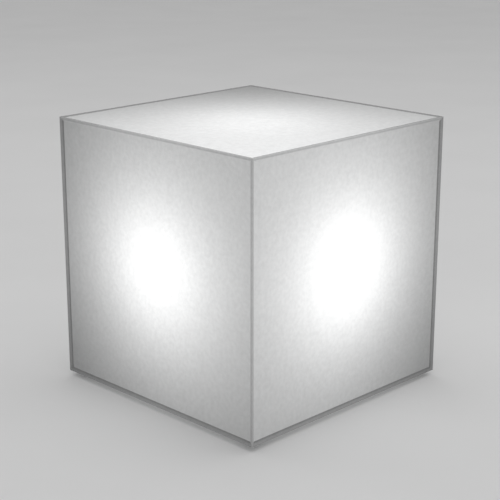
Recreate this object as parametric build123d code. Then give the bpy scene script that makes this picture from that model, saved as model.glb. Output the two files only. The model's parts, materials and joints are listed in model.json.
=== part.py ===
from build123d import *
import math
import os
from collections import namedtuple

# An acrylic cube light for the garden. Five mitred panels make a shade, which stands on a sixth panel,
# the base. The base carries a lampholder on a bent bracket, and a screw-cap LED lamp stands in it.
# Millimetres. Z is up, and the origin is on the ground, under the middle of the cube.

# Cube
CUBE = 200.0  # outside length of every edge
WALL = 3.0  # acrylic sheet
SEAM = 0.3  # gap across the mitre between the shade and the base

# Fits
FIT_GAP = 0.05  # radial gap where one piece is pressed, screwed or turned into another
HOLE_GAP = 0.25  # radial gap round a screw in a clearance hole
SIDE_GAP = 0.3  # gap beside a piece that lies next to another without touching it
EDGE_ROUND = 0.6  # rounded rim of a small turned or moulded piece

# Screws with a domed head, their washers and nuts
M4_RADIUS = 2.0
M4_HEAD_RADIUS = 3.8
M4_HEAD_HEIGHT = 2.2
M4_KEY = 2.5  # across the flats of the socket
M4_WASHER_RADIUS = 4.5
M4_WASHER = 0.8
M4_NUT_ACROSS = 7.0
M4_NUT = 3.2
M3_RADIUS = 1.5
M3_HEAD_RADIUS = 2.85
M3_HEAD_HEIGHT = 1.65
M3_KEY = 2.0
M3_WASHER_RADIUS = 3.5
M3_WASHER = 0.5
M3_NUT_ACROSS = 5.5
M3_NUT = 2.4
HEAD_EDGE = 0.5  # straight rim under a screw head's dome
KEY_DEPTH = 1.1
THREAD_TAIL = 1.0  # how far a screw stands out of its nut

# Feet
HEAD_CLEARANCE = 1.0  # from the lowest screw head to the ground
FOOT_RADIUS = 8.0
FOOT_DRAFT = 1.0  # how much narrower a foot is at the ground
FOOT_INSET = 30.0  # from the cube's side to a foot's middle

# Corners of the shade
BLOCK_SIDE = 16.0
BLOCK_HEIGHT = 14.0
BLOCK_CHAMFER = 8.0
INSERT_RADIUS = 2.8
INSERT_LENGTH = 8.0
INSERT_GROOVE = 0.35
GRIP = 6.0  # length of a shade screw inside its insert
STRIP_WIDTH = 4.0
STRIP_HEIGHT = 3.0

# Supply inlet, in the back panel
INLET_HEIGHT = 12.0  # above the base panel's top
INLET_RADIUS = 3.5  # bore for the lead
BUSH_RADIUS = 5.0
BUSH_FLANGE_RADIUS = 7.0
BUSH_FLANGE = 2.0

# Bracket
BRACKET_SHEET = 1.5
BRACKET_RISE = 10.5  # clear height under the bridge
BRIDGE_LENGTH = 46.0
BRACKET_WIDTH = 25.0
BRACKET_FOOT = 17.0
BEND_RADIUS = 2.5
BRACKET_CORNER = 4.0

# Lampholder
HOLDER_RADIUS = 20.5
HOLDER_SKIRT = 16.0  # height of the wide lower part
HOLDER_STEP = 2.0
HOLDER_RIM_RADIUS = 18.0
HOLDER_HEIGHT = 39.0
HOLDER_FLOOR = 10.0
RIM_ROUND = 1.0
SHELL_SHEET = 0.4
SHELL_TOP_GAP = 3.0  # from the screw shell's top to the holder's rim
FLOOR_SCREW_SPREAD = 9.0  # from the axis to each screw in the holder's floor
CONTACT_SHEET = 0.5
CONTACT_WIDTH = 5.0
CONTACT_BEND = 1.0
CONTACT_REACH = 10.5  # from the axis to the contact's fixed end
CONTACT_FOOT = 5.0  # length of the fixed end that lies on the holder's floor
CONTACT_RISE = 5.0  # from the holder's floor to the contact's pad
CONTACT_GAP = 0.05
TERMINAL_SPREAD = 9.0
TERMINAL_WIDTH = 6.0
TERMINAL_DEPTH = 5.0
TERMINAL_HEIGHT = 7.0
TERMINAL_SETBACK = 2.5  # from the holder's side to a terminal's outer end

# Lamp with a 27 mm screw cap
CAP_RADIUS = 13.2
CAP_SHEET = 0.4
CAP_LENGTH = 27.0  # from the tip to the cap's upper rim
CAP_CURL = 4.0  # height of the cone at the cap's lower end
TIP_RADIUS = 4.6
TIP_HEIGHT = 1.8
INSULATOR_HEIGHT = 3.2
INSULATOR_RADIUS = 9.4
SPIGOT_LENGTH = 8.0
NECK_RADIUS = 14.2
NECK_LENGTH = 6.0
HOUSING_WALL = 1.6
GLOBE_RADIUS = 30.0
GLOBE_WALL = 1.2
GLOBE_CENTRE = 80.0  # above the tip
HOUSING_TOP = 66.0  # above the tip
LEDGE_DEPTH = 4.0
LEDGE_WIDTH = 1.5
SPREADER = 2.0
BOARD = 1.2
BOARD_MARGIN = 2.0
CHIP_COUNT = 12
CHIP_SIDE = 3.0
CHIP_HEIGHT = 0.7
CHIP_MARGIN = 4.0
DRIVER_WIDTH = 18.0
DRIVER_LENGTH = 44.0
DRIVER_START = 8.0  # above the tip
CAPACITOR_RADIUS = 4.0
CAPACITOR_LENGTH = 12.0
CAPACITOR_AT = 22.0  # from the driver board's lower end
CHOKE_RADIUS = 4.5
CHOKE_LENGTH = 8.0
CHOKE_WAIST = 1.2
CHOKE_RIM = 2.0
CHOKE_AT = 31.0
RECTIFIER_SIDE = 5.0
RECTIFIER_DEPTH = 2.5
RECTIFIER_AT = 15.0

# Terminal block and wires
BLOCK_WAY = 11.0  # from one way to the next
WAY_COUNT = 2
BLOCK_DEPTH = 19.0
BLOCK_BODY = 9.5
BLOCK_ROUND = 1.5
TURRET_RADIUS = 3.6
TURRET_RISE = 5.0
TURRET_RECESS = 2.4  # from a turret's top to its screw
TURRET_SPREAD = 5.0  # from a way's middle to each of its screws
SLEEVE_SIDE = 5.0
SLEEVE_LENGTH = 17.0
SLEEVE_BORE = 1.75
SLEEVE_AXIS = 5.5  # above the block's underside
CLAMP_RADIUS = 1.4
CLAMP_SLOT = 0.6
BLOCK_BACK = 38.0  # from the back panel's outside to the block's middle
WIRE_RADIUS = 1.1
WIRE_BARE = 4.0  # length of wire inside a terminal
WIRE_BEND = 5.0
WIRE_STRAIGHT = 8.5  # straight run out of each terminal

# Levels and places that follow from these
FOOT_HEIGHT = M4_WASHER + M4_HEAD_HEIGHT + HEAD_CLEARANCE
FLOOR = FOOT_HEIGHT + WALL
HALF = CUBE / 2
INSIDE = HALF - WALL
FOOT_AT = HALF - FOOT_INSET
BLOCK_AT = INSIDE - BLOCK_SIDE / 2
SHELL_RADIUS = CAP_RADIUS + 2 * FIT_GAP
CAVITY_RADIUS = SHELL_RADIUS + SHELL_SHEET + FIT_GAP
HOLDER_BASE = FLOOR + BRACKET_RISE + BRACKET_SHEET
HOLDER_INSIDE = HOLDER_BASE + HOLDER_FLOOR
TIP = HOLDER_INSIDE + CONTACT_RISE + CONTACT_GAP
TERMINAL_BLOCK_Y = HALF - BLOCK_BACK
TERMINAL_END = HOLDER_RADIUS - TERMINAL_SETBACK
TERMINAL_START = TERMINAL_END - TERMINAL_DEPTH
WIRE_HIGH = HOLDER_BASE + TERMINAL_HEIGHT / 2
SLEEVE_LEVEL = FLOOR + SLEEVE_AXIS - FIT_GAP  # a sleeve rests on the floor of its tunnel

Screw = namedtuple("Screw", "radius head_radius head_height key")
M4 = Screw(M4_RADIUS, M4_HEAD_RADIUS, M4_HEAD_HEIGHT, M4_KEY)
M3 = Screw(M3_RADIUS, M3_HEAD_RADIUS, M3_HEAD_HEIGHT, M3_KEY)


def lathe(edges):
    """A solid of revolution round Z from a closed outline of (radius, height) edges."""
    return revolve(make_face(Plane.XZ * edges), Axis.Z)


def turned(*points):
    """A solid of revolution round Z from (radius, height) corners."""
    return lathe(Polyline(*points, close=True))


def column(radius, height, low=0.0):
    """A cylinder on Z that starts at a height."""
    return Pos(0, 0, low) * Cylinder(radius, height, align=(Align.CENTER, Align.CENTER, Align.MIN))


def slab(width, depth, height, low=0.0):
    """A box on Z that starts at a height."""
    return Pos(0, 0, low) * Box(width, depth, height, align=(Align.CENTER, Align.CENTER, Align.MIN))


def group(solids):
    """Separate solids that share one node."""
    return Compound(children=list(solids))


def corners(reach):
    """The four corners of a square round the origin."""
    return [(x * reach, y * reach) for x in (-1, 1) for y in (-1, 1)]


def cap_screw(size, length):
    """A screw whose head hangs below the origin and whose shank points up."""
    dome = size.head_height - HEAD_EDGE
    dome_radius = (size.head_radius**2 + dome**2) / (2 * dome)
    rim = (size.head_radius, -HEAD_EDGE)
    top = (0, -size.head_height)
    outline = Polyline((0, 0), (size.head_radius, 0), rim)
    outline += RadiusArc(rim, top, dome_radius)
    outline += Line(top, (0, 0))
    head = lathe(outline)
    socket = extrude(RegularPolygon(size.key / math.sqrt(3), 6), KEY_DEPTH)
    return head + column(size.radius, length) - Pos(0, 0, -size.head_height) * socket


def washer(radius, thickness, hole):
    return column(radius, thickness) - column(hole, thickness)


def nut(across, height, hole):
    hexagon = extrude(RegularPolygon(across / math.sqrt(3), 6), height)
    return hexagon - column(hole, height)


def bent_strip(points, bend, thickness, width):
    """A strip bent along points in XZ, which lie on its lower face, centred on Y."""
    lower = FilletPolyline(*points, radius=bend)
    section = make_face(offset(lower, thickness, side=Side.LEFT, closed=True).edges())
    return extrude(Plane.XZ * section, width / 2, both=True)


def mitred_panel(side):
    """A sheet whose outside face lies on XY and whose four edges are mitred towards its inside."""
    return extrude(Rectangle(side, side), WALL, taper=45)


def wall_panel(x, y):
    """A side of the shade, with its outside facing (x, y)."""
    outside = Plane((x * HALF, y * HALF, FOOT_HEIGHT + HALF), z_dir=(-x, -y, 0))
    return outside.location * mitred_panel(CUBE)


def inlet_axis(y):
    """The place of the supply inlet's axis at a depth, looking in along -Y."""
    return Plane((0, y, FLOOR + INLET_HEIGHT), z_dir=(0, -1, 0)).location


def top_panel():
    return Plane((0, 0, FOOT_HEIGHT + CUBE), z_dir=(0, 0, -1)).location * mitred_panel(CUBE)


def back_panel():
    return wall_panel(0, 1) - inlet_axis(HALF) * column(BUSH_RADIUS + FIT_GAP, WALL)


def inlet_bush():
    """A rubber bush, pushed in from the inside until it is flush with the outside."""
    barrel = column(BUSH_RADIUS, WALL)
    flange = column(BUSH_FLANGE_RADIUS, BUSH_FLANGE, WALL)
    flange = fillet(flange.edges().group_by(Axis.Z)[-1], EDGE_ROUND)
    return inlet_axis(HALF) * (barrel + flange - column(INLET_RADIUS, WALL + BUSH_FLANGE))


def corner_block(x, y):
    """A block in one lower corner of the shade, with a blind hole for its insert."""
    block = slab(BLOCK_SIDE, BLOCK_SIDE, BLOCK_HEIGHT)
    centre = (-x * CUBE, -y * CUBE, BLOCK_HEIGHT / 2)
    block = chamfer(block.edges().filter_by(Axis.Z).sort_by_distance(centre)[0], BLOCK_CHAMFER)
    block -= column(INSERT_RADIUS + FIT_GAP, INSERT_LENGTH)
    return Pos(x * BLOCK_AT, y * BLOCK_AT, FLOOR) * block


def threaded_insert():
    """A brass insert with a groove round its middle."""
    third = INSERT_LENGTH / 3
    waist = INSERT_RADIUS - INSERT_GROOVE
    bore = M4_RADIUS + FIT_GAP
    return turned(
        (bore, 0),
        (INSERT_RADIUS, 0),
        (INSERT_RADIUS, third),
        (waist, third),
        (waist, 2 * third),
        (INSERT_RADIUS, 2 * third),
        (INSERT_RADIUS, INSERT_LENGTH),
        (bore, INSERT_LENGTH),
    )


def base_panel():
    """The sixth panel, a little smaller so that the shade lifts off its mitres."""
    panel = Pos(0, 0, FOOT_HEIGHT) * mitred_panel(CUBE - 2 * SEAM * math.sqrt(2))
    for x, y in corners(BLOCK_AT):
        panel -= Pos(x, y, FOOT_HEIGHT) * column(M4_RADIUS + HOLE_GAP, WALL)
    for x in (-1, 1):
        panel -= Pos(x * bracket_hole(), 0, FOOT_HEIGHT) * column(M4_RADIUS + HOLE_GAP, WALL)
    return panel - Pos(0, TERMINAL_BLOCK_Y, FOOT_HEIGHT) * column(M3_RADIUS + HOLE_GAP, WALL)


def foot():
    """A rubber foot with a rounded lower rim and a slight taper."""
    low = FOOT_RADIUS - FOOT_DRAFT
    body = turned((0, 0), (low, 0), (FOOT_RADIUS, FOOT_HEIGHT), (0, FOOT_HEIGHT))
    return fillet(body.edges().group_by(Axis.Z)[0], FOOT_DRAFT)


def seal_strips():
    """Foam strips on the base panel, between the corner blocks."""
    length = 2 * (INSIDE - BLOCK_SIDE - SIDE_GAP)
    middle = INSIDE - SIDE_GAP - STRIP_WIDTH / 2
    strip = Pos(0, middle, FLOOR) * slab(length, STRIP_WIDTH, STRIP_HEIGHT)
    return [Rot(0, 0, turn) * strip for turn in (0, 90, 180, 270)]


def bracket_hole():
    """The distance from the axis to the screw in each foot of the bracket."""
    return BRIDGE_LENGTH / 2 + BEND_RADIUS + (BRACKET_FOOT - BEND_RADIUS) / 2


def holder_bracket():
    """A strip bent into a hat: two feet on the base panel and a bridge under the lampholder."""
    inner = BRIDGE_LENGTH / 2
    end = inner + BRACKET_FOOT
    points = [(-end, 0), (-inner, 0), (-inner, BRACKET_RISE), (inner, BRACKET_RISE), (inner, 0), (end, 0)]
    strip = bent_strip(points, BEND_RADIUS, BRACKET_SHEET, BRACKET_WIDTH)
    for face in (strip.faces().sort_by(Axis.X)[0], strip.faces().sort_by(Axis.X)[-1]):
        strip = fillet(strip.edges().filter_by(Axis.Z) & face.edges().filter_by(Axis.Z), BRACKET_CORNER)
    for x in (-1, 1):
        strip -= Pos(x * bracket_hole(), 0, 0) * column(M4_RADIUS + HOLE_GAP, BRACKET_SHEET)
        strip -= Pos(x * FLOOR_SCREW_SPREAD, 0, BRACKET_RISE) * column(M4_RADIUS + HOLE_GAP, BRACKET_SHEET)
    return Pos(0, 0, FLOOR) * strip


def holder_body():
    """The ceramic lampholder: a skirted cup with floor screws and two terminal pockets at the back."""
    body = turned(
        (0, 0),
        (HOLDER_RADIUS, 0),
        (HOLDER_RADIUS, HOLDER_SKIRT),
        (HOLDER_RIM_RADIUS, HOLDER_SKIRT + HOLDER_STEP),
        (HOLDER_RIM_RADIUS, HOLDER_HEIGHT),
        (0, HOLDER_HEIGHT),
    )
    body = fillet(body.edges().group_by(Axis.Z)[-1], RIM_ROUND)
    body -= column(CAVITY_RADIUS, HOLDER_HEIGHT - HOLDER_FLOOR, HOLDER_FLOOR)
    mouth = body.edges().filter_by(GeomType.CIRCLE).group_by(Axis.Z)[-1].sort_by(SortBy.RADIUS)[0]
    body = chamfer(mouth, RIM_ROUND)
    for x in (-1, 1):
        body -= Pos(x * FLOOR_SCREW_SPREAD, 0, 0) * column(M4_RADIUS + HOLE_GAP, HOLDER_FLOOR)
        body -= terminal_pocket(x)
    return Pos(0, 0, HOLDER_BASE) * body


def terminal_pocket(x):
    """A pocket that is open to the back and underneath, from the terminal's inner end outwards."""
    width = TERMINAL_WIDTH + 2 * FIT_GAP
    reach = HOLDER_RADIUS - TERMINAL_START
    pocket = slab(width, reach, TERMINAL_HEIGHT)
    return Pos(x * TERMINAL_SPREAD, TERMINAL_START + reach / 2, 0) * pocket


def screw_shell():
    """The plain sleeve of the holder's thread."""
    height = HOLDER_HEIGHT - HOLDER_FLOOR - SHELL_TOP_GAP
    sleeve = column(SHELL_RADIUS + SHELL_SHEET, height) - column(SHELL_RADIUS, height)
    return Pos(0, 0, HOLDER_INSIDE) * sleeve


def centre_contact():
    """A bent spring strip that rises from the holder's floor to the lamp's tip."""
    rise = CONTACT_RISE - CONTACT_SHEET
    ramp = CONTACT_FOOT - CONTACT_REACH
    points = [(-CONTACT_REACH, 0), (ramp, 0), (-TIP_RADIUS / 2, rise), (TIP_RADIUS, rise)]
    strip = bent_strip(points, CONTACT_BEND, CONTACT_SHEET, CONTACT_WIDTH)
    return Pos(0, 0, HOLDER_INSIDE) * Rot(0, 0, 90) * strip


def holder_terminal(x):
    """A brass block with a hole for its wire and one for its screw."""
    block = slab(TERMINAL_WIDTH, TERMINAL_DEPTH, TERMINAL_HEIGHT)
    wire_hole = Rot(90, 0, 0) * Cylinder(WIRE_RADIUS + FIT_GAP, TERMINAL_DEPTH)
    block -= Pos(0, 0, TERMINAL_HEIGHT / 2) * wire_hole
    block -= column(CLAMP_RADIUS + FIT_GAP, TERMINAL_HEIGHT / 2 - WIRE_RADIUS)
    return Pos(x * TERMINAL_SPREAD, TERMINAL_END - TERMINAL_DEPTH / 2, HOLDER_BASE) * block


def clamp_screw(length):
    """A slotted grub screw that stands on Z, with its slot at the top."""
    slot = slab(2 * CLAMP_RADIUS, CLAMP_SLOT, CLAMP_SLOT * 2, length - CLAMP_SLOT * 2)
    return column(CLAMP_RADIUS, length) - slot


def terminal_screw(x):
    length = TERMINAL_HEIGHT / 2 - WIRE_RADIUS - FIT_GAP
    place = Pos(x * TERMINAL_SPREAD, TERMINAL_END - TERMINAL_DEPTH / 2, HOLDER_BASE + length)
    return place * Rot(180, 0, 0) * clamp_screw(length)


def way_places():
    """The x of each way of the terminal block."""
    first = -BLOCK_WAY * (WAY_COUNT - 1) / 2
    return [first + BLOCK_WAY * way for way in range(WAY_COUNT)]


def turret_places():
    """Where each clamp screw stands, from the terminal block's middle."""
    return [(x, y * TURRET_SPREAD) for x in way_places() for y in (-1, 1)]


def terminal_block():
    """A strip of ways with a turret over each clamp screw and tunnels for the sleeves."""
    body = slab(BLOCK_WAY * WAY_COUNT, BLOCK_DEPTH, BLOCK_BODY)
    body = fillet(body.edges().filter_by(Axis.Z), BLOCK_ROUND)
    tunnel_side = SLEEVE_SIDE + 2 * FIT_GAP
    tunnel_low = SLEEVE_AXIS - tunnel_side / 2
    for x, y in turret_places():
        body += Pos(x, y, BLOCK_BODY) * column(TURRET_RADIUS, TURRET_RISE)
    for x in way_places():
        body -= Pos(x, 0, 0) * slab(tunnel_side, BLOCK_DEPTH, tunnel_side, tunnel_low)
    for x, y in turret_places():
        shaft = column(CLAMP_RADIUS + HOLE_GAP, BLOCK_BODY + TURRET_RISE, SLEEVE_AXIS)
        body -= Pos(x, y, 0) * shaft
    body -= column(M3_RADIUS + HOLE_GAP, BLOCK_BODY)
    return Pos(0, TERMINAL_BLOCK_Y, FLOOR) * body


def clamp_sleeve(x):
    """A square brass sleeve with a bore along Y and a screw hole near each end."""
    sleeve = Box(SLEEVE_SIDE, SLEEVE_LENGTH, SLEEVE_SIDE)
    sleeve -= Rot(90, 0, 0) * Cylinder(SLEEVE_BORE, SLEEVE_LENGTH)
    for y in (-1, 1):
        sleeve -= Pos(0, y * TURRET_SPREAD, 0) * column(CLAMP_RADIUS + FIT_GAP, SLEEVE_SIDE / 2)
    return Pos(x, TERMINAL_BLOCK_Y, SLEEVE_LEVEL) * sleeve


def clamp_screws():
    """Grub screws over the four ends of the sleeves, down on the wires or run back to the same height."""
    low = SLEEVE_AXIS + WIRE_RADIUS + FIT_GAP
    length = BLOCK_BODY + TURRET_RISE - low - TURRET_RECESS
    places = [Pos(x, TERMINAL_BLOCK_Y + y, FLOOR + low) for x, y in turret_places()]
    return [place * clamp_screw(length) for place in places]


def wire(x_terminal, x_way):
    """A wire from the terminal block to the lampholder, in straight runs joined by arcs."""
    start_y = TERMINAL_BLOCK_Y - SLEEVE_LENGTH / 2
    points = [
        (x_way, start_y + WIRE_BARE, SLEEVE_LEVEL),
        (x_way, start_y - WIRE_STRAIGHT, SLEEVE_LEVEL),
        (x_terminal, TERMINAL_END + WIRE_STRAIGHT, WIRE_HIGH),
        (x_terminal, TERMINAL_END - WIRE_BARE, WIRE_HIGH),
    ]
    route = FilletPolyline(*points, radius=WIRE_BEND)
    section = Plane(points[0], z_dir=(0, -1, 0)) * Circle(WIRE_RADIUS)
    return sweep(section, route)


def lamp_profile(wall):
    """The housing's outside from the neck to the globe, or the same line moved in by a wall."""
    high = (rim_radius() - wall, HOUSING_TOP)
    low = (NECK_RADIUS - wall, CAP_LENGTH + NECK_LENGTH)
    along_globe = (GLOBE_CENTRE - HOUSING_TOP, rim_radius())
    return Spline(low, high, tangents=[(0, 1), along_globe])


def rim_radius():
    """The globe's outside radius where it meets the housing."""
    return math.sqrt(GLOBE_RADIUS**2 - (GLOBE_CENTRE - HOUSING_TOP) ** 2)


def ledge_radius():
    """The radius of the recess that the heat spreader lies in."""
    inside = math.sqrt((GLOBE_RADIUS - GLOBE_WALL) ** 2 - (GLOBE_CENTRE - HOUSING_TOP) ** 2)
    return inside - LEDGE_WIDTH


def bulb_housing():
    """A flared shell with a spigot in the cap and a ledge for the heat spreader."""
    spigot = CAP_RADIUS - CAP_SHEET - FIT_GAP
    bore = spigot - HOUSING_WALL
    neck_top = CAP_LENGTH + NECK_LENGTH
    outer = lamp_profile(0)
    outline = Polyline(
        (0, HOUSING_TOP),
        (0, CAP_LENGTH - SPIGOT_LENGTH),
        (spigot, CAP_LENGTH - SPIGOT_LENGTH),
        (spigot, CAP_LENGTH),
        (NECK_RADIUS, CAP_LENGTH),
        (NECK_RADIUS, neck_top),
    )
    solid = lathe(outline + outer + Line((rim_radius(), HOUSING_TOP), (0, HOUSING_TOP)))
    inner = lamp_profile(HOUSING_WALL)
    hollow = Polyline(
        (rim_radius() - HOUSING_WALL, HOUSING_TOP),
        (0, HOUSING_TOP),
        (0, neck_top),
        (NECK_RADIUS - HOUSING_WALL, neck_top),
    )
    ledge = HOUSING_TOP - LEDGE_DEPTH
    cut = lathe(hollow + inner) - column(GLOBE_RADIUS, LEDGE_DEPTH, ledge)
    solid -= cut
    solid -= column(bore, HOUSING_TOP, CAP_LENGTH - SPIGOT_LENGTH)
    solid -= column(ledge_radius(), LEDGE_DEPTH, ledge)
    return Pos(0, 0, TIP) * solid


def cap_shell():
    """The metal screw cap as a plain cup, drawn in at its lower end round the insulator."""
    inside = CAP_RADIUS - CAP_SHEET
    low = INSULATOR_HEIGHT + TIP_HEIGHT
    return Pos(0, 0, TIP) * turned(
        (INSULATOR_RADIUS, low),
        (CAP_RADIUS, low + CAP_CURL),
        (CAP_RADIUS, CAP_LENGTH),
        (inside, CAP_LENGTH),
        (inside, low + CAP_CURL),
        (INSULATOR_RADIUS - CAP_SHEET, low + CAP_SHEET),
        (INSULATOR_RADIUS - CAP_SHEET, low),
    )


def cap_insulator():
    """The dark glass cone between the cap and its tip."""
    top = TIP_HEIGHT + INSULATOR_HEIGHT
    return Pos(0, 0, TIP) * turned(
        (0, TIP_HEIGHT),
        (TIP_RADIUS + CAP_SHEET, TIP_HEIGHT),
        (INSULATOR_RADIUS, top),
        (0, top),
    )


def bulb_tip():
    """The round tip contact, slightly domed at its rim."""
    tip = column(TIP_RADIUS, TIP_HEIGHT)
    return Pos(0, 0, TIP) * fillet(tip.edges().group_by(Axis.Z)[0], EDGE_ROUND)


def bulb_globe():
    """An opal globe, open where it sits on the housing."""
    ball = Sphere(GLOBE_RADIUS) - Sphere(GLOBE_RADIUS - GLOBE_WALL)
    drop = GLOBE_CENTRE - HOUSING_TOP
    ball -= column(GLOBE_RADIUS, GLOBE_RADIUS, -drop - GLOBE_RADIUS)
    return Pos(0, 0, TIP + GLOBE_CENTRE) * ball


def spreader_low():
    """The height of the heat spreader's underside above the tip."""
    return HOUSING_TOP - LEDGE_DEPTH


def heat_spreader():
    return Pos(0, 0, TIP + spreader_low()) * column(ledge_radius() - FIT_GAP, SPREADER)


def led_board():
    low = TIP + spreader_low() + SPREADER
    return Pos(0, 0, low) * column(ledge_radius() - BOARD_MARGIN, BOARD)


def led_chips():
    """A ring of LEDs on the board."""
    low = TIP + spreader_low() + SPREADER + BOARD
    ring = PolarLocations(ledge_radius() - BOARD_MARGIN - CHIP_MARGIN, CHIP_COUNT)
    return [Pos(0, 0, low) * place * slab(CHIP_SIDE, CHIP_SIDE, CHIP_HEIGHT) for place in ring]


def driver_board():
    return Pos(0, 0, TIP + DRIVER_START) * slab(DRIVER_WIDTH, BOARD, DRIVER_LENGTH)


def driver_parts():
    """A capacitor, a choke and a rectifier on the driver board."""
    face = BOARD / 2
    capacitor = column(CAPACITOR_RADIUS, CAPACITOR_LENGTH, CAPACITOR_AT)
    waist = CHOKE_RADIUS - CHOKE_WAIST
    choke = turned(
        (0, 0),
        (CHOKE_RADIUS, 0),
        (CHOKE_RADIUS, CHOKE_RIM),
        (waist, CHOKE_RIM),
        (waist, CHOKE_LENGTH - CHOKE_RIM),
        (CHOKE_RADIUS, CHOKE_LENGTH - CHOKE_RIM),
        (CHOKE_RADIUS, CHOKE_LENGTH),
        (0, CHOKE_LENGTH),
    )
    rectifier = slab(RECTIFIER_SIDE, RECTIFIER_DEPTH, RECTIFIER_SIDE, RECTIFIER_AT)
    parts = [
        Pos(0, face + CAPACITOR_RADIUS, 0) * capacitor,
        Pos(0, -face, CHOKE_AT) * Rot(90, 0, 0) * choke,
        Pos(0, -face - RECTIFIER_DEPTH / 2, 0) * rectifier,
    ]
    return [Pos(0, 0, TIP + DRIVER_START) * part for part in parts]


def shade_fixings():
    """Screws and washers that hold the shade, up through the base panel."""
    length = M4_WASHER + WALL + GRIP
    screw = cap_screw(M4, length)
    ring = washer(M4_WASHER_RADIUS, M4_WASHER, M4_RADIUS + FIT_GAP)
    places = [Pos(x, y, FOOT_HEIGHT - M4_WASHER) for x, y in corners(BLOCK_AT)]
    return [place * screw for place in places], [place * ring for place in places]


def bracket_fixings():
    """Screws, washers and nuts that hold the bracket, up through the base panel."""
    screw = cap_screw(M4, M4_WASHER + WALL + BRACKET_SHEET + M4_NUT + THREAD_TAIL)
    ring = washer(M4_WASHER_RADIUS, M4_WASHER, M4_RADIUS + FIT_GAP)
    hexagon = nut(M4_NUT_ACROSS, M4_NUT, M4_RADIUS + FIT_GAP)
    places = [Pos(x * bracket_hole(), 0, 0) for x in (-1, 1)]
    under = Pos(0, 0, FOOT_HEIGHT - M4_WASHER)
    over = Pos(0, 0, FLOOR + BRACKET_SHEET)
    screws = [place * under * screw for place in places]
    rings = [place * under * ring for place in places]
    return screws, rings, [place * over * hexagon for place in places]


def holder_fixings():
    """Screws down through the holder's floor, with nuts under the bracket's bridge."""
    length = HOLDER_FLOOR + BRACKET_SHEET + M4_NUT + THREAD_TAIL
    screw = Pos(0, 0, HOLDER_INSIDE) * Rot(180, 0, 0) * cap_screw(M4, length)
    hexagon = nut(M4_NUT_ACROSS, M4_NUT, M4_RADIUS + FIT_GAP)
    under = Pos(0, 0, HOLDER_BASE - BRACKET_SHEET - M4_NUT)
    places = [Pos(x * FLOOR_SCREW_SPREAD, 0, 0) for x in (-1, 1)]
    return [place * screw for place in places], [place * under * hexagon for place in places]


def block_fixings():
    """The screw, washer and nut that hold the terminal block, up through the base panel."""
    screw = cap_screw(M3, M3_WASHER + WALL + BLOCK_BODY + M3_NUT + THREAD_TAIL)
    ring = washer(M3_WASHER_RADIUS, M3_WASHER, M3_RADIUS + FIT_GAP)
    under = Pos(0, TERMINAL_BLOCK_Y, FOOT_HEIGHT - M3_WASHER)
    over = Pos(0, TERMINAL_BLOCK_Y, FLOOR + BLOCK_BODY)
    return under * screw, under * ring, over * nut(M3_NUT_ACROSS, M3_NUT, M3_RADIUS + FIT_GAP)


def shade_nodes():
    return {
        "top_panel": top_panel(),
        "left_panel": wall_panel(-1, 0),
        "right_panel": wall_panel(1, 0),
        "front_panel": wall_panel(0, -1),
        "back_panel": back_panel(),
        "inlet_bush": inlet_bush(),
        "corner_blocks": group(corner_block(x, y) for x, y in corners(1)),
        "threaded_inserts": group(Pos(x, y, FLOOR) * threaded_insert() for x, y in corners(BLOCK_AT)),
    }


def base_nodes():
    shade_screws, shade_washers = shade_fixings()
    bracket_screws, bracket_washers, bracket_nuts = bracket_fixings()
    block_screw, block_washer, block_nut = block_fixings()
    return {
        "base_panel": base_panel(),
        "seal_strips": group(seal_strips()),
        "rubber_feet": group(Pos(x, y, 0) * foot() for x, y in corners(FOOT_AT)),
        "shade_screws": group(shade_screws),
        "shade_washers": group(shade_washers),
        "holder_bracket": holder_bracket(),
        "bracket_screws": group(bracket_screws),
        "bracket_washers": group(bracket_washers),
        "bracket_nuts": group(bracket_nuts),
        "terminal_block": terminal_block(),
        "clamp_sleeves": group(clamp_sleeve(x) for x in way_places()),
        "clamp_screws": group(clamp_screws()),
        "block_screw": block_screw,
        "block_washer": block_washer,
        "block_nut": block_nut,
        "live_wire": wire(-TERMINAL_SPREAD, way_places()[0]),
        "neutral_wire": wire(TERMINAL_SPREAD, way_places()[-1]),
    }


def holder_nodes():
    holder_screws, holder_nuts = holder_fixings()
    return {
        "holder_body": holder_body(),
        "screw_shell": screw_shell(),
        "centre_contact": centre_contact(),
        "holder_screws": group(holder_screws),
        "holder_nuts": group(holder_nuts),
        "holder_terminals": group(holder_terminal(x) for x in (-1, 1)),
        "terminal_screws": group(terminal_screw(x) for x in (-1, 1)),
    }


def bulb_nodes():
    return {
        "bulb_tip": bulb_tip(),
        "cap_insulator": cap_insulator(),
        "cap_shell": cap_shell(),
        "bulb_housing": bulb_housing(),
        "heat_spreader": heat_spreader(),
        "led_board": led_board(),
        "led_chips": group(led_chips()),
        "driver_board": driver_board(),
        "driver_parts": group(driver_parts()),
        "bulb_globe": bulb_globe(),
    }


def main():
    os.makedirs("parts", exist_ok=True)
    for nodes in (shade_nodes(), base_nodes(), holder_nodes(), bulb_nodes()):
        for name, shape in nodes.items():
            export_step(shape, f"parts/{name}.step")


main()
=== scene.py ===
import json
import math
import bmesh
import bpy
from mathutils import Matrix, Vector


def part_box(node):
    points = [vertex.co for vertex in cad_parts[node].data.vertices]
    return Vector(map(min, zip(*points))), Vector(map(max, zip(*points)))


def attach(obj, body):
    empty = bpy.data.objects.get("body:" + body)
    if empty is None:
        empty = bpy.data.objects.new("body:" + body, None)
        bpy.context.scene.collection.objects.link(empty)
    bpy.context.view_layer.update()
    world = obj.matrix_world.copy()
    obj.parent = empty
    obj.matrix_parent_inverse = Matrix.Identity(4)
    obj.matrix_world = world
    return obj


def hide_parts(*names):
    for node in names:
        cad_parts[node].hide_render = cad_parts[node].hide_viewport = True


# Dresses an acrylic cube light. Metres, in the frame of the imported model: Z is up, and the origin is on
# the ground under the middle of the cube.

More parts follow.
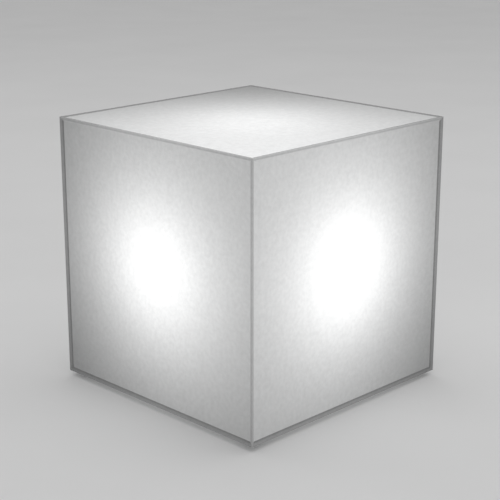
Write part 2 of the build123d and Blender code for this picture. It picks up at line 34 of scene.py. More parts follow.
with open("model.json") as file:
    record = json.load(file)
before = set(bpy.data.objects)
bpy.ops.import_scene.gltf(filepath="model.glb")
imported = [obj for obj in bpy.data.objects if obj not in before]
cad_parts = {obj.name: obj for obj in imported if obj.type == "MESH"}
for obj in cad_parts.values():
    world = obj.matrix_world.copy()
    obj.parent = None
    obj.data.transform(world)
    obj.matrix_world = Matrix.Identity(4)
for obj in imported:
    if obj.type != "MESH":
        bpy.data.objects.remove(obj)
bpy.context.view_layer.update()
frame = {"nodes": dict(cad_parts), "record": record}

MM = 0.001


# --- Sizes, read from the frame -------------------------------------------------------------------


def low(node):
    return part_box(node)[0]


def high(node):
    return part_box(node)[1]


HALF = high("right_panel").x
WALL = high("right_panel").x - low("right_panel").x
FOOT = low("left_panel").z
TOP = high("top_panel").z
MIDDLE = (FOOT + TOP) / 2
EDGE = 2 * HALF
BASE_HALF = high("base_panel").x
RISE_PER_RADIAN = frame["record"]["behaviour"]["couplings"][0]["ratio"]
PITCH = RISE_PER_RADIAN * 2 * math.pi
CORNERS = ((-1, -1), (1, -1), (1, 1), (-1, 1))  # of a square, in turn


# --- Shader trees ---------------------------------------------------------------------------------

NOISE_LOW = 0.3  # nearly all of a noise lies between these two
NOISE_HIGH = 0.7


class Tree:
    """A material's nodes. Most calls return an output socket, which can be another call's input."""

    def __init__(self, name):
        self.material = bpy.data.materials.new(name)
        self.material.use_nodes = True
        self.nodes = self.material.node_tree.nodes
        self.links = self.material.node_tree.links
        self.nodes.clear()

    def add(self, kind, inputs=(), **settings):
        """A node with its settings, and its inputs by name or number as values or sockets."""
        node = self.nodes.new(kind)
        for key, value in settings.items():
            setattr(node, key, value)
        for key, value in dict(inputs).items():
            self.put(node.inputs[key], value)
        return node

    def put(self, socket, value):
        """A value, or a link from another socket, on an input."""
        if isinstance(value, bpy.types.NodeSocket):
            self.links.new(value, socket)
        else:
            socket.default_value = value

    def place(self):
        """Object coordinates, which stay with the piece when it moves."""
        return self.add("ShaderNodeTexCoord").outputs["Object"]

    def axes(self):
        """The x, y and z of the place."""
        return self.add("ShaderNodeSeparateXYZ", {0: self.place()}).outputs

    def maths(self, operation, a, b=0.0):
        node = self.add("ShaderNodeMath", {0: a, 1: b}, operation=operation)
        return node.outputs[0]

    def noise(self, scale, detail=2.0, roughness=0.5, vector=None):
        """A cloud of values round 0.5, with a scale in cells per metre."""
        inputs = {
            "Vector": vector or self.place(),
            "Scale": scale,
            "Detail": detail,
            "Roughness": roughness,
        }
        return self.add("ShaderNodeTexNoise", inputs).outputs[0]

    def stretched(self, factors):
        """The place with each axis scaled, for brushed and drawn finishes."""
        inputs = {0: self.place(), 1: factors}
        return self.add("ShaderNodeVectorMath", inputs, operation="MULTIPLY").outputs[0]

    def between(self, value, from_low, from_high, to_low, to_high, smooth=False):
        """A value mapped from one range to another, and held there."""
        inputs = {0: value, 1: from_low, 2: from_high, 3: to_low, 4: to_high}
        kind = "SMOOTHSTEP" if smooth else "LINEAR"
        node = self.add("ShaderNodeMapRange", inputs, interpolation_type=kind, clamp=True)
        return node.outputs[0]

    def ramp(self, value, stops):
        """A colour ramp from (position, grey or colour) stops."""
        node = self.add("ShaderNodeValToRGB", {0: value})
        while len(node.color_ramp.elements) < len(stops):
            node.color_ramp.elements.new(0.5)
        for element, (position, colour) in zip(node.color_ramp.elements, stops):
            element.position = position
            element.color = rgba(colour)
        return node.outputs[0]

    def spread(self, noise, least, most):
        """A noise spread over a range of values."""
        return self.between(noise, NOISE_LOW, NOISE_HIGH, least, most)

    def tinted(self, noise, first, second):
        """A colour or grey that goes from one to another with a noise."""
        return self.ramp(noise, [(NOISE_LOW, first), (NOISE_HIGH, second)])

    def bump(self, height, strength, distance):
        inputs = {"Strength": strength, "Distance": distance, "Height": height}
        return self.add("ShaderNodeBump", inputs).outputs[0]

    def surface(self, **inputs):
        """A Principled shader as the material's surface, with inputs by name."""
        named = {key.replace("_", " "): value for key, value in inputs.items()}
        self.output(self.add("ShaderNodeBsdfPrincipled", named).outputs[0])

    def output(self, shader):
        self.add("ShaderNodeOutputMaterial", {0: shader})


def rgba(colour):
    """A grey level or a colour as red, green, blue and alpha."""
    if isinstance(colour, (int, float)):
        return (colour, colour, colour, 1.0)
    return (*colour, 1.0)


def shaded(colour, amount):
    """A lighter or darker colour."""
    return tuple(min(1.0, part * amount) for part in colour)


# --- Opal acrylic ---------------------------------------------------------------------------------

GRAIN = 310.0  # cells per metre of the opal's fine grain
GRAIN_AMOUNT = 0.035  # share by which the grain lowers and lifts the light
CLOUD = 110.0  # cells per metre of its soft unevenness
CLOUD_AMOUNT = 0.015
FACE_GREY = 0.12  # the opal's own grey, which only the studio lights
RIM_GREY = 0.10
FALL_OFF = -1.5  # the power by which a lamp's light falls off along a flat panel


def middle_of(axis):
    """The cube's middle on an axis."""
    return MIDDLE if axis == "Z" else 0.0


def squared_from(tree, value, centre):
    return tree.maths("POWER", tree.maths("SUBTRACT", value, centre), 2.0)


def total(tree, *parts):
    """The sum of values or sockets."""
    whole = parts[0]
    for part in parts[1:]:
        whole = tree.maths("ADD", whole, part)
    return whole


def hot_spot(tree, place, spot):
    """Light that falls off round a point of a panel, near the lamp. It also slopes along the panel's two
    axes, and twists, so that two opposite corners are lighter than the other two."""
    distance = total(tree, *[squared_from(tree, place[k], spot["centre"][k]) for k in spot["centre"]])
    divided = tree.maths("ADD", tree.maths("DIVIDE", distance, spot["reach"] ** 2), 1.0)
    light = tree.maths("MULTIPLY", tree.maths("POWER", divided, FALL_OFF), spot["peak"])
    slopes = spot["slopes"]
    offsets = [tree.maths("SUBTRACT", place[k], middle_of(k)) for k in slopes]
    rises = [tree.maths("MULTIPLY", offset, slopes[k] / EDGE) for k, offset in zip(slopes, offsets)]
    twist = tree.maths("MULTIPLY", tree.maths("MULTIPLY", *offsets), spot["twist"] / EDGE**2)
    return total(tree, light, spot["level"], twist, *rises)


def grained(tree, light):
    """The same light with a fine grain and a soft unevenness."""
    grain = tree.spread(tree.noise(GRAIN, 1.0, 0.6), 1.0 - GRAIN_AMOUNT, 1.0 + GRAIN_AMOUNT)
    cloud = tree.spread(tree.noise(CLOUD, 2.0), 1.0 - CLOUD_AMOUNT, 1.0 + CLOUD_AMOUNT)
    return tree.maths("MULTIPLY", light, tree.maths("MULTIPLY", grain, cloud))


def through_sheet(tree, light, sheet):
    """The emission that gives a brightness, as the clear sheet dims it and the studio adds to it."""
    gain, seen = sheet
    own = tree.maths("SUBTRACT", light, seen)
    return tree.maths("MAXIMUM", tree.maths("MULTIPLY", own, gain), 0.0)


def opal_face(name, spot, sheet, shade=None):
    """The face of a panel's lit layer, with a shade that dims it if it has one."""
    tree = Tree(name)
    place = tree.axes()
    light = grained(tree, hot_spot(tree, place, spot))
    if shade:
        light = tree.maths("MULTIPLY", light, shade(tree, place))
    tree.surface(
        Base_Color=tree.tinted(tree.noise(GRAIN, 3.0), FACE_GREY * 0.96, FACE_GREY * 1.04),
        Roughness=0.55,
        Specular_IOR_Level=0.1,
        Emission_Color=rgba(1.0),
        Emission_Strength=through_sheet(tree, light, sheet),
    )
    return tree.material


def opal_rim(name, spot, sheet, normal, kind):
    """The strip of a layer along one mitre, with an even light and a share of the panel's own."""
    even, shares = kind
    tree = Tree(name)
    place = tree.axes()
    axis, way = next((axis, part) for axis, part in zip("XYZ", normal) if part)
    outside = middle_of(axis) + way * HALF
    depth = tree.between(place[axis], outside, outside - way * WALL, 0.0, 1.0)
    light = tree.maths("MULTIPLY", hot_spot(tree, place, spot), tree.ramp(depth, shares))
    light = tree.maths("ADD", light, even)
    tree.surface(
        Base_Color=tree.tinted(tree.noise(CLOUD * 4, 3.0), RIM_GREY * 0.9, RIM_GREY * 1.1),
        Roughness=0.6,
        Specular_IOR_Level=0.1,
        Emission_Color=rgba(1.0),
        Emission_Strength=through_sheet(tree, grained(tree, light), sheet),
    )
    return tree.material


def clear_sheet():
    """The clear outer layer, which bends sight lines and lets lamps through."""
    tree = Tree("clear_sheet")
    haze = tree.spread(tree.noise(CLOUD, 3.0), 0.02, 0.05)
    glass = tree.add(
        "ShaderNodeBsdfPrincipled",
        {
            "Base Color": rgba((0.97, 0.98, 0.98)),
            "Roughness": haze,
            "IOR": 1.49,
            "Transmission Weight": 1.0,
        },
    )
    opening = tree.add("ShaderNodeBsdfTransparent", {0: rgba(0.92)})
    path = tree.add("ShaderNodeLightPath")
    mix = tree.add("ShaderNodeMixShader", {0: path.outputs["Is Shadow Ray"]})
    tree.put(mix.inputs[1], glass.outputs[0])
    tree.put(mix.inputs[2], opening.outputs[0])
    tree.output(mix.outputs[0])
    return tree.material


LAYER_FRONT = 0.12 * MM  # from the mitre and the inner face to the opal layer's lit side
LAYER_BACK = 0.03 * MM  # the same for its dark side
LAYER_START = 0.05 * MM  # from the outer face to the layer's edge
HOLE_SIDES = 32
FACE_SLOT = 0  # a layer's material slots: its face, and its four mitres in turn
RIM_SLOTS = [1, 2, 3, 4]


def ring(mesh, half, depth):
    """The four corner vertices of a square, in turn."""
    return [mesh.verts.new((x * half, y * half, depth)) for x, y in CORNERS]


def circle(mesh, centre, radius, depth):
    """The vertices of a round hole's edge."""
    turns = [2 * math.pi * k / HOLE_SIDES for k in range(HOLE_SIDES)]
    points = [(centre[0] + radius * math.cos(t), centre[1] + radius * math.sin(t)) for t in turns]
    return [mesh.verts.new((x, y, depth)) for x, y in points]


def loop_edges(mesh, verts):
    """The edges round a loop, made where they are missing."""
    pairs = zip(verts, verts[1:] + verts[:1])
    return [mesh.edges.get(pair) or mesh.edges.new(pair) for pair in pairs]


def band(mesh, first, second, slots):
    """Quads between two loops of the same length, with their material slots in turn."""
    count = len(first)
    for k in range(count):
        j = (k + 1) % count
        mesh.faces.new((first[k], first[j], second[j], second[k])).material_index = slots[k % len(slots)]


def plate(mesh, outline, holes):
    """A flat face inside an outline, with round holes."""
    edges = loop_edges(mesh, outline)
    for hole in holes:
        edges += loop_edges(mesh, hole)
    made = bmesh.ops.triangle_fill(mesh, edges=edges, use_beauty=True)
    for face in made["geom"]:
        if isinstance(face, bmesh.types.BMFace):
            face.material_index = FACE_SLOT


def opal_layer(name, half, holes, outside, face, rims):
    """A thin closed opal tray just inside a panel's mitres and inner face. outside lays it in place, and
    rims holds the materials of the four mitres, from the lower one round by the panel's own side axis."""
    mesh = bmesh.new()
    sides = []
    for gap in (LAYER_FRONT, LAYER_BACK):
        reach = half - gap * math.sqrt(2)
        start = ring(mesh, reach - LAYER_START, LAYER_START)
        bottom = ring(mesh, reach - (WALL - gap), WALL - gap)
        cut = [circle(mesh, centre, radius, WALL - gap) for centre, radius in holes]
        band(mesh, start, bottom, RIM_SLOTS)
        plate(mesh, bottom, cut)
        sides.append((start, cut))
    band(mesh, sides[0][0], sides[1][0], RIM_SLOTS)
    for front, back in zip(sides[0][1], sides[1][1]):
        band(mesh, front, back, RIM_SLOTS[:1])
    bmesh.ops.recalc_face_normals(mesh, faces=mesh.faces)
    mesh.transform(outside)
    data = bpy.data.meshes.new(name)
    mesh.to_mesh(data)
    mesh.free()
    for material in [face] + rims:
        data.materials.append(material)
    return add_piece(name, data)


def add_piece(name, data):
    piece = bpy.data.objects.new(name, data)
    bpy.context.scene.collection.objects.link(piece)
    return piece


def facing(normal, up, place):
    """The move that lays a flat panel's outer face at a place, where it looks along a normal."""
    depth = -Vector(normal)
    height = Vector(up)
    side = height.cross(depth)
    turn = Matrix((side, height, depth)).transposed().to_4x4()
    return Matrix.Translation(place) @ turn


SHADOW_START = 20 * MM  # the lamp's shadow on the base: its radius at its darkest and at its end
SHADOW_END = 75 * MM
SHADOW_LIGHT = 0.25  # share of the light that is left at its darkest


def base_shade(tree, place):
    """The lamp's own shadow on the base, round the holder."""
    flat = total(tree, *[squared_from(tree, place[k], 0.0) for k in "XY"])
    return tree.between(tree.maths("SQRT", flat), SHADOW_START, SHADOW_END, SHADOW_LIGHT, 1.0, smooth=True)


# Of each kind of sheet: the emission that it takes for a brightness of 1, and what the studio adds to that
WALL_SHEET = (1.10, 0.095)
TOP_SHEET = (1.44, 0.215)
BASE_SHEET = (1.0, 0.0)


def wall_spot(axis, side, height, reach, peak, level, along, upward, twist):
    """A wall's light. axis lies along the wall, and side, height and reach are shares of the edge."""
    return {
        "centre": {axis: side * EDGE, "Z": MIDDLE + height * EDGE},
        "reach": reach * EDGE,
        "peak": peak,
        "level": level,
        "slopes": {axis: along, "Z": upward},
        "twist": twist,
    }


# The light of the two walls in the photograph, fitted to its brightness there, as the top's is. The wall
# across from each has the same.
SOFT = {
    "side": -0.0096,
    "height": 0.0217,
    "reach": 0.3902,
    "peak": 0.8657,
    "level": 0.2396,
    "along": -0.1262,
    "upward": 0.1058,
    "twist": -0.0469,
}
STRONG = {
    "side": -0.0045,
    "height": 0.0223,
    "reach": 0.3785,
    "peak": 0.9178,
    "level": 0.2921,
    "along": -0.1575,
    "upward": 0.1142,
    "twist": -0.0159,
}
WALLS = {  # of each wall: outward normal, the axis along it, and its light
    "left_panel": ((-1, 0, 0), "Y", SOFT),
    "front_panel": ((0, -1, 0), "X", STRONG),
    "right_panel": ((1, 0, 0), "Y", SOFT),
    "back_panel": ((0, 1, 0), "X", STRONG),
}
TOP_SPOT = {
    "centre": {"X": -0.0326 * EDGE, "Y": -0.0326 * EDGE},
    "reach": 0.4586 * EDGE,
    "peak": 0.4272,
    "level": 0.4525,
    "slopes": {"X": -0.2932, "Y": -0.2932},
    "twist": 0.1251,
}
BASE_SPOT = {
    "centre": {"X": 0.0, "Y": 0.0},
    "reach": 0.55 * EDGE,
    "peak": 0.45,
    "level": 0.2,
    "slopes": {"X": -0.05, "Y": -0.05},
    "twist": 0.0,
}

# Of each kind of mitre: an even light, and its share of the panel's light from the outer face (0) to the
# inner one (1). The middle kind lies between the photograph's two walls, and the outer kind at their far
# sides.
UPPER_RIM = (0.08, [(0.0, 0.85), (0.15, 0.68), (0.5, 0.60), (0.8, 0.86), (1.0, 0.86)])
LOWER_RIM = (0.105, [(0.0, 0.35), (0.5, 0.35), (0.65, 0.22), (1.0, 0.22)])
MIDDLE_RIM = (0.115, [(0.0, 0.48), (1.0, 0.54)])
OUTER_RIM = (0.095, [(0.0, 0.43), (0.55, 0.43), (0.7, 0.25), (1.0, 0.25)])
FLAT_RIM = (0.0, [(0.0, 0.45), (1.0, 0.55)])

INLET_HOLE = 5.05 * MM  # radius of the back panel's hole for the inlet bush
SCREW_RADII = {"shade_screws": 2.0 * MM, "bracket_screws": 2.0 * MM, "block_screw": 1.5 * MM}
SCREW_GAP = 0.25 * MM  # round each screw in the base panel


def opal_layers():
    """The lit layer of each panel."""
    inlet_height = (low("inlet_bush").z + high("inlet_bush").z) / 2 - MIDDLE
    for node, (normal, axis, light) in WALLS.items():
        spot = wall_spot(axis, **light)
        sides = [OUTER_RIM, MIDDLE_RIM] if axis == "Y" else [MIDDLE_RIM, OUTER_RIM]
        kinds = [LOWER_RIM, sides[0], UPPER_RIM, sides[1]]
        outside = facing(normal, (0, 0, 1), Vector(normal) * HALF + Vector((0, 0, MIDDLE)))
        holes = [((0.0, inlet_height), INLET_HOLE)] if node == "back_panel" else []
        add_layer(node, HALF, holes, outside, spot, WALL_SHEET, normal, kinds)
    kinds = [FLAT_RIM] * 4
    outside = facing((0, 0, 1), (0, 1, 0), Vector((0, 0, TOP)))
    add_layer("top_panel", HALF, [], outside, TOP_SPOT, TOP_SHEET, (0, 0, 1), kinds)
    outside = facing((0, 0, -1), (0, 1, 0), Vector((0, 0, FOOT)))
    add_layer("base_panel", BASE_HALF, base_holes(), outside, BASE_SPOT, BASE_SHEET, (0, 0, -1), kinds)


def add_layer(node, half, holes, outside, spot, sheet, normal, kinds):
    """One panel's lit layer, with a material for its face and for each mitre."""
    face = opal_face(node + "_glow", spot, sheet, base_shade if node == "base_panel" else None)
    rims = [opal_rim(f"{node}_rim_{k}", spot, sheet, normal, kind) for k, kind in enumerate(kinds)]
    piece = opal_layer(node + "_opal", half, holes, outside, face, rims)
    body = "base" if node == "base_panel" else "shade"
    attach(piece, body)


WELD = 1e-6  # vertices nearer than this are joined


def islands(node):
    """The lowest and highest corners of each separate solid in a node."""
    mesh = bmesh.new()
    mesh.from_mesh(frame["nodes"][node].data)
    bmesh.ops.remove_doubles(mesh, verts=mesh.verts, dist=WELD)
    left = set(mesh.verts)
    boxes = []
    while left:
        queue = [left.pop()]
        found = list(queue)
        while queue:
            for edge in queue.pop().link_edges:
                for vert in edge.verts:
                    if vert in left:
                        left.discard(vert)
                        queue.append(vert)
                        found.append(vert)
        points = [vert.co for vert in found]
        lowest, highest = (Vector([pick(p[k] for p in points) for k in range(3)]) for pick in (min, max))
        boxes.append((lowest, highest))
    mesh.free()
    return boxes


def base_holes():
    """The centre and radius of each screw hole in the base panel."""
    holes = []
    for node, radius in SCREW_RADII.items():
        for lowest, highest in islands(node):
            middle = (lowest + highest) / 2
            holes.append(((middle.x, middle.y), radius + SCREW_GAP))
    return holes


# --- Other finishes -------------------------------------------------------------------------------

# Noise scales are in cells per metre, and the depths of relief in metres
MOULD_CLOUD = 250.0
METAL_MARKS = 700.0
METAL_PATCHES = 160.0
METAL_DEPTH = 0.01 * MM
GLAZE_PEEL = 260.0
GLAZE_SPECKS = 1400.0
GLOBE_HAZE = 300.0
GLOBE_FADE = 30 * MM  # from the globe's neck to where it is fully lit
PHOSPHOR = 1500.0
SAW_MARKS = 500.0
TRACKS = 350.0


def moulded(name, colour, roughness, grain=900.0, depth=0.02 * MM, uneven=0.04):
    """Moulded plastic, rubber or foam: a fine texture, slightly uneven in colour and gloss."""
    tree = Tree(name)
    texture = tree.noise(grain, 3.0, 0.6)
    dark, light = shaded(colour, 1 - uneven), shaded(colour, 1 + uneven)
    tree.surface(
        Base_Color=tree.tinted(tree.noise(MOULD_CLOUD, 5.0), dark, light),
        Roughness=tree.spread(texture, roughness - 0.08, roughness + 0.08),
        Normal=tree.bump(texture, 0.4, depth),
    )
    return tree.material


def metal(name, colour, roughness, stretch=(1.0, 1.0, 1.0)):
    """Bare or plated metal, with fine marks along its working direction and dull patches."""
    tree = Tree(name)
    marks = tree.noise(METAL_MARKS, 4.0, 0.65, tree.stretched(stretch))
    tree.surface(
        Base_Color=tree.tinted(tree.noise(METAL_PATCHES, 3.0), shaded(colour, 0.86), shaded(colour, 1.08)),
        Metallic=1.0,
        Roughness=tree.spread(marks, roughness - 0.1, roughness + 0.12),
        Normal=tree.bump(marks, 0.35, METAL_DEPTH),
    )
    return tree.material


def porcelain():
    """White glaze with a faint orange peel and a few darker specks."""
    tree = Tree("porcelain_glaze")
    peel = tree.noise(GLAZE_PEEL, 2.0)
    speck, shade, glaze = (0.55, 0.52, 0.46), (0.87, 0.86, 0.82), (0.9, 0.89, 0.86)
    tree.surface(
        Base_Color=tree.ramp(tree.noise(GLAZE_SPECKS, 1.0), [(0.22, speck), (0.27, shade), (1.0, glaze)]),
        Roughness=tree.spread(peel, 0.12, 0.24),
        Coat_Weight=0.6,
        Coat_Roughness=0.05,
        Normal=tree.bump(peel, 0.25, 0.03 * MM),
    )
    return tree.material


def globe_glow():
    """The lit globe, brightest round its middle and dimmer towards its neck."""
    tree = Tree("globe_glow")
    neck = low("bulb_globe").z
    light = tree.between(tree.axes()["Z"], neck, neck + GLOBE_FADE, 0.22, 0.42, smooth=True)
    tree.surface(
        Base_Color=rgba((0.62, 0.62, 0.6)),
        Roughness=tree.spread(tree.noise(GLOBE_HAZE, 2.0), 0.3, 0.4),
        Emission_Color=rgba((1.0, 0.99, 0.96)),
        Emission_Strength=grained(tree, light),
    )
    return tree.material


def led_material():
    """Yellow phosphor that shines."""
    tree = Tree("led_phosphor")
    cloud = tree.noise(PHOSPHOR, 2.0)
    tree.surface(
        Base_Color=tree.tinted(cloud, (0.85, 0.7, 0.2), (0.95, 0.85, 0.35)),
        Roughness=0.4,
        Emission_Color=rgba((1.0, 0.93, 0.7)),
        Emission_Strength=tree.spread(cloud, 0.9, 1.1),
    )
    return tree.material


def clear_block():
    """Clear acrylic with sawn, frosted faces, which the lamp lights more towards their tops."""
    tree = Tree("clear_block")
    saw = tree.noise(SAW_MARKS, 3.0, 0.6, tree.stretched((1.0, 1.0, 8.0)))
    bottom, top = low("corner_blocks").z, high("corner_blocks").z
    tree.surface(
        Base_Color=rgba((0.82, 0.84, 0.84)),
        Roughness=tree.spread(saw, 0.25, 0.5),
        Normal=tree.bump(saw, 0.3, 0.02 * MM),
        Emission_Color=rgba(1.0),
        Emission_Strength=tree.between(tree.axes()["Z"], bottom, top, 0.12, 0.25),
    )
    return tree.material


def circuit_board(name, colour):
    """Solder mask over tracks that show as a faint relief."""
    tree = Tree(name)
    cells = {"Vector": tree.place(), "Scale": TRACKS}
    tracks = tree.add("ShaderNodeTexVoronoi", cells, distance="CHEBYCHEV")
    edge = tree.between(tracks.outputs["Distance"], 0.35, 0.45, 0.0, 1.0)
    tree.surface(
        Base_Color=tree.ramp(edge, [(0.0, colour), (1.0, shaded(colour, 1.2))]),
        Roughness=0.35,
        Normal=tree.bump(edge, 0.3, 0.03 * MM),
    )
    return tree.material


def finishes():
    """The material of each CAD node."""
    panels = ["top_panel", "left_panel", "right_panel", "front_panel", "back_panel", "base_panel"]
    screws = ["shade_screws", "bracket_screws", "block_screw"]
    washers = ["shade_washers", "bracket_washers", "block_washer"]
    nuts = ["bracket_nuts", "block_nut", "holder_nuts", "holder_screws", "clamp_screws", "terminal_screws"]
    brasses = ["threaded_inserts", "clamp_sleeves", "holder_terminals", "centre_contact", "screw_shell"]
    rubber = moulded("rubber", (0.035, 0.035, 0.037), 0.75, grain=1100.0, depth=0.05 * MM, uneven=0.15)
    foam = moulded("foam", (0.8, 0.8, 0.78), 0.9, grain=1600.0, depth=0.15 * MM, uneven=0.06)
    groups = [
        (clear_sheet(), panels),
        (clear_block(), ["corner_blocks"]),
        (metal("stainless", (0.62, 0.62, 0.62), 0.28), screws + washers),
        (metal("zinc_plate", (0.66, 0.68, 0.70), 0.34), nuts),
        (metal("bracket_zinc", (0.64, 0.66, 0.69), 0.32, (1.0, 12.0, 12.0)), ["holder_bracket"]),
        (metal("brass", (0.78, 0.60, 0.30), 0.26), brasses),
        (metal("solder", (0.62, 0.62, 0.64), 0.38), ["bulb_tip"]),
        (metal("cap_nickel", (0.72, 0.7, 0.66), 0.24, (1.0, 1.0, 6.0)), ["cap_shell"]),
        (metal("turned_aluminium", (0.78, 0.79, 0.8), 0.3), ["heat_spreader"]),
        (rubber, ["rubber_feet", "inlet_bush"]),
        (foam, ["seal_strips"]),
        (moulded("polyamide", (0.8, 0.79, 0.73), 0.45), ["terminal_block"]),
        (moulded("brown_wire", (0.2, 0.085, 0.04), 0.38), ["live_wire"]),
        (moulded("blue_wire", (0.05, 0.16, 0.5), 0.38), ["neutral_wire"]),
        (moulded("cap_glass", (0.02, 0.02, 0.025), 0.18), ["cap_insulator"]),
        (moulded("housing_white", (0.82, 0.82, 0.8), 0.42), ["bulb_housing"]),
        (moulded("component_black", (0.04, 0.04, 0.045), 0.4), ["driver_parts"]),
        (porcelain(), ["holder_body"]),
        (globe_glow(), ["bulb_globe"]),
        (led_material(), ["led_chips"]),
        (circuit_board("board_white", (0.78, 0.79, 0.78)), ["led_board"]),
        (circuit_board("board_green", (0.04, 0.2, 0.08)), ["driver_board"]),
    ]
    return {node: material for material, nodes in groups for node in nodes}


def dress_nodes():
    """Each CAD node's own material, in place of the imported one."""
    for node, material in finishes().items():
        data = frame["nodes"][node].data
        data.materials.clear()
        data.materials.append(material)


def material_of(node):
    return frame["nodes"][node].data.materials[0]


# --- Screw threads --------------------------------------------------------------------------------

TURN_STEPS = 96
ROWS_PER_PITCH = 12
THREAD_DEPTH = 0.95 * MM  # from crest to root
THREAD_GAP = 0.12 * MM  # between the cap's crest and the shell's
THREAD_SHEET = 0.25 * MM  # thickness of the cap's metal and the shell's
THREAD_LIP = 1 * MM  # plain length at an open end
CAP_RUN = 4 * MM  # height of the cap's bowl, of its thread's start over that, and of the end of the thread
SHELL_START = 4 * MM  # the shell's thread is full from this far above its lower end
SHELL_END = 3 * MM  # and up to this far below its upper one


def wave(turn, height):
    """From 0 at a thread's root to 1 at its crest. The same helix runs through the cap and the holder."""
    return 0.5 + 0.5 * math.cos(2 * math.pi * height / PITCH - turn)


def sleeve(name, rows, radius):
    """A closed sleeve with a sheet's thickness, whose inside follows radius(turn, height)."""
    mesh = bmesh.new()
    walls = []
    for extra in (0.0, THREAD_SHEET):
        loops = []
        for z in rows:
            loop = []
            for k in range(TURN_STEPS):
                turn = 2 * math.pi * k / TURN_STEPS
                r = radius(turn, z) + extra
                loop.append(mesh.verts.new((r * math.cos(turn), r * math.sin(turn), z)))
            loops.append(loop)
        for first, second in zip(loops, loops[1:]):
            band(mesh, first, second, [0])
        walls.append(loops)
    for end in (0, -1):
        band(mesh, walls[0][end], walls[1][end], [0])
    bmesh.ops.recalc_face_normals(mesh, faces=mesh.faces)
    data = bpy.data.meshes.new(name)
    mesh.to_mesh(data)
    mesh.free()
    data.shade_smooth()
    return add_piece(name, data)


def rows_between(bottom, top):
    """The heights of a sleeve's rows of vertices."""
    count = math.ceil((top - bottom) / PITCH * ROWS_PER_PITCH)
    return [bottom + (top - bottom) * k / count for k in range(count + 1)]


def fade(value, start, end):
    """A smooth step from 0 at start to 1 at end."""
    part = min(1.0, max(0.0, (value - start) / (end - start)))
    return part * part * (3 - 2 * part)


def threads():
    """The lamp's threaded cap and the holder's threaded shell, on one helix."""
    cap_low, cap_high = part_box("cap_shell")
    crest = cap_high.x
    neck = high("cap_insulator").x

    def cap_radius(turn, z):
        body = crest - THREAD_DEPTH + THREAD_DEPTH * wave(turn, z)
        starting = fade(z, cap_low.z + CAP_RUN, cap_low.z + 2 * CAP_RUN)
        ending = fade(z, cap_high.z - THREAD_LIP, cap_high.z - CAP_RUN)
        bowl = math.sin(min(1.0, (z - cap_low.z) / CAP_RUN) * math.pi / 2)
        plain = neck + (crest - THREAD_DEPTH / 2 - neck) * bowl
        return plain + (body - plain) * starting * ending - THREAD_SHEET

    cap = sleeve("cap_thread", rows_between(cap_low.z, cap_high.z), cap_radius)
    cap.data.materials.append(material_of("cap_shell"))
    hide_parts("cap_shell")
    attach(cap, "bulb")

    shell_low, shell_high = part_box("screw_shell")

    def shell_radius(turn, z):
        body = crest - THREAD_DEPTH + THREAD_DEPTH * wave(turn, z)
        starting = fade(z, shell_low.z + THREAD_LIP, shell_low.z + SHELL_START)
        ending = fade(z, shell_high.z - THREAD_LIP, shell_high.z - SHELL_END)
        return crest + (body - crest) * starting * ending + THREAD_GAP

    shell = sleeve("shell_thread", rows_between(shell_low.z, shell_high.z), shell_radius)
    shell.data.materials.append(material_of("screw_shell"))
    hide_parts("screw_shell")
    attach(shell, "base")


# --- Studio ---------------------------------------------------------------------------------------

# The photograph's camera, fitted to the cube's corners: angles in degrees, lengths in cube edges, and the
# sensor and lens in millimetres
AZIMUTH = 45.086
ELEVATION = 16.568
DISTANCE = 4.9491
AIM_SIDE = 0.0057
AIM_UP = 0.0121
SENSOR = 36.0
LENS = 93.98

FLOOR_GREY = 0.78
FLOOR_REACH = 6.0
FLOOR_CLOUD = 6.0  # cells per metre of the floor's unevenness
SKY_LIGHT = 0.66  # strength of the sky as a light, in reflections, and as it is seen
SKY_GLOSS = 0.75
SKY_SEEN = 0.80
SKY_RAYS = [("Is Glossy Ray", SKY_GLOSS), ("Is Transmission Ray", SKY_SEEN), ("Is Camera Ray", SKY_SEEN)]
LAMP_WATTS = 4.0
LAMPS = [  # of each lamp: its name, its place in metres, and its share of the watts
    ("key", (-0.6, -0.7, 1.6), 1.0),
    ("fill", (0.9, -0.5, 1.5), 0.8),
    ("back", (0.1, 0.9, 1.6), 0.7),
]


def studio_camera():
    """The camera at the photograph's viewing angle."""
    azimuth, elevation = math.radians(AZIMUTH), math.radians(ELEVATION)
    flat = math.cos(elevation)
    forward = Vector((flat * math.sin(azimuth), flat * math.cos(azimuth), -math.sin(elevation)))
    right = forward.cross(Vector((0, 0, 1))).normalized()
    up = right.cross(forward)
    eye = Vector((0, 0, MIDDLE)) - EDGE * (forward * DISTANCE + right * AIM_SIDE + up * AIM_UP)
    data = bpy.data.cameras.new("camera")
    data.lens = LENS
    data.sensor_width = SENSOR
    camera = bpy.data.objects.new("camera", data)
    bpy.context.scene.collection.objects.link(camera)
    camera.matrix_world = Matrix.Translation(eye) @ Matrix((right, up, -forward)).transposed().to_4x4()
    bpy.context.scene.camera = camera


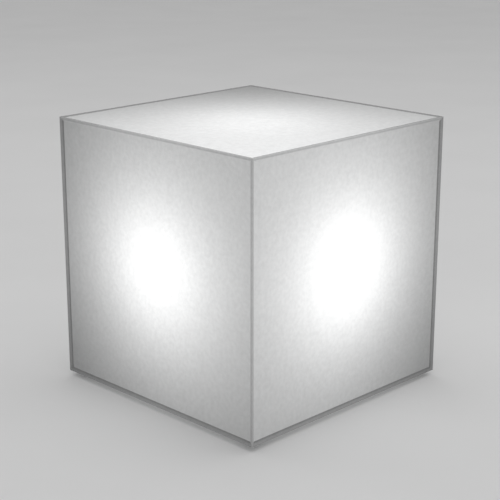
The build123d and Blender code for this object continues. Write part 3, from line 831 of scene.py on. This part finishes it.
def studio_floor():
    """A pale floor that ends far behind the object."""
    data = bpy.data.meshes.new("floor")
    data.from_pydata([(x * FLOOR_REACH, y * FLOOR_REACH, 0) for x, y in CORNERS], [], [(0, 1, 2, 3)])
    tree = Tree("floor_grey")
    tree.surface(
        Base_Color=tree.tinted(tree.noise(FLOOR_CLOUD, 3.0), FLOOR_GREY * 0.985, FLOOR_GREY * 1.015),
        Roughness=0.7,
        Specular_IOR_Level=0.2,
    )
    data.materials.append(tree.material)
    add_piece("floor", data)


def studio_world():
    """An even pale sky, a little brighter in reflections than as a light, and brightest as it is seen."""
    world = bpy.data.worlds.new("studio")
    world.use_nodes = True
    nodes, links = world.node_tree.nodes, world.node_tree.links
    nodes.clear()
    path = nodes.new("ShaderNodeLightPath")
    level = SKY_LIGHT
    for ray, strength in SKY_RAYS:
        mix = nodes.new("ShaderNodeMix")
        links.new(path.outputs[ray], mix.inputs["Factor"])
        if isinstance(level, float):
            mix.inputs["A"].default_value = level
        else:
            links.new(level, mix.inputs["A"])
        mix.inputs["B"].default_value = strength
        level = mix.outputs["Result"]
    back = nodes.new("ShaderNodeBackground")
    links.new(level, back.inputs["Strength"])
    out = nodes.new("ShaderNodeOutputWorld")
    links.new(back.outputs[0], out.inputs[0])
    bpy.context.scene.world = world


def studio_lamps():
    """Large soft lamps high over the object, of a size that makes them as bright as the sky in reflections,
    so that no panel mirrors their outline."""
    for name, place, share in LAMPS:
        data = bpy.data.lights.new(name, "AREA")
        data.shape = "DISK"
        data.energy = LAMP_WATTS * share
        data.size = 2 * math.sqrt(data.energy / (2 * math.pi * SKY_GLOSS))
        lamp = bpy.data.objects.new(name, data)
        lamp.location = place
        aim = Vector((0, 0, MIDDLE)) - Vector(place)
        lamp.rotation_mode = "QUATERNION"
        lamp.rotation_quaternion = aim.to_track_quat("-Z", "Y")
        bpy.context.scene.collection.objects.link(lamp)


studio_camera()
studio_floor()
studio_world()
studio_lamps()
bpy.context.scene.view_settings.view_transform = "Standard"

dress_nodes()
opal_layers()
threads()
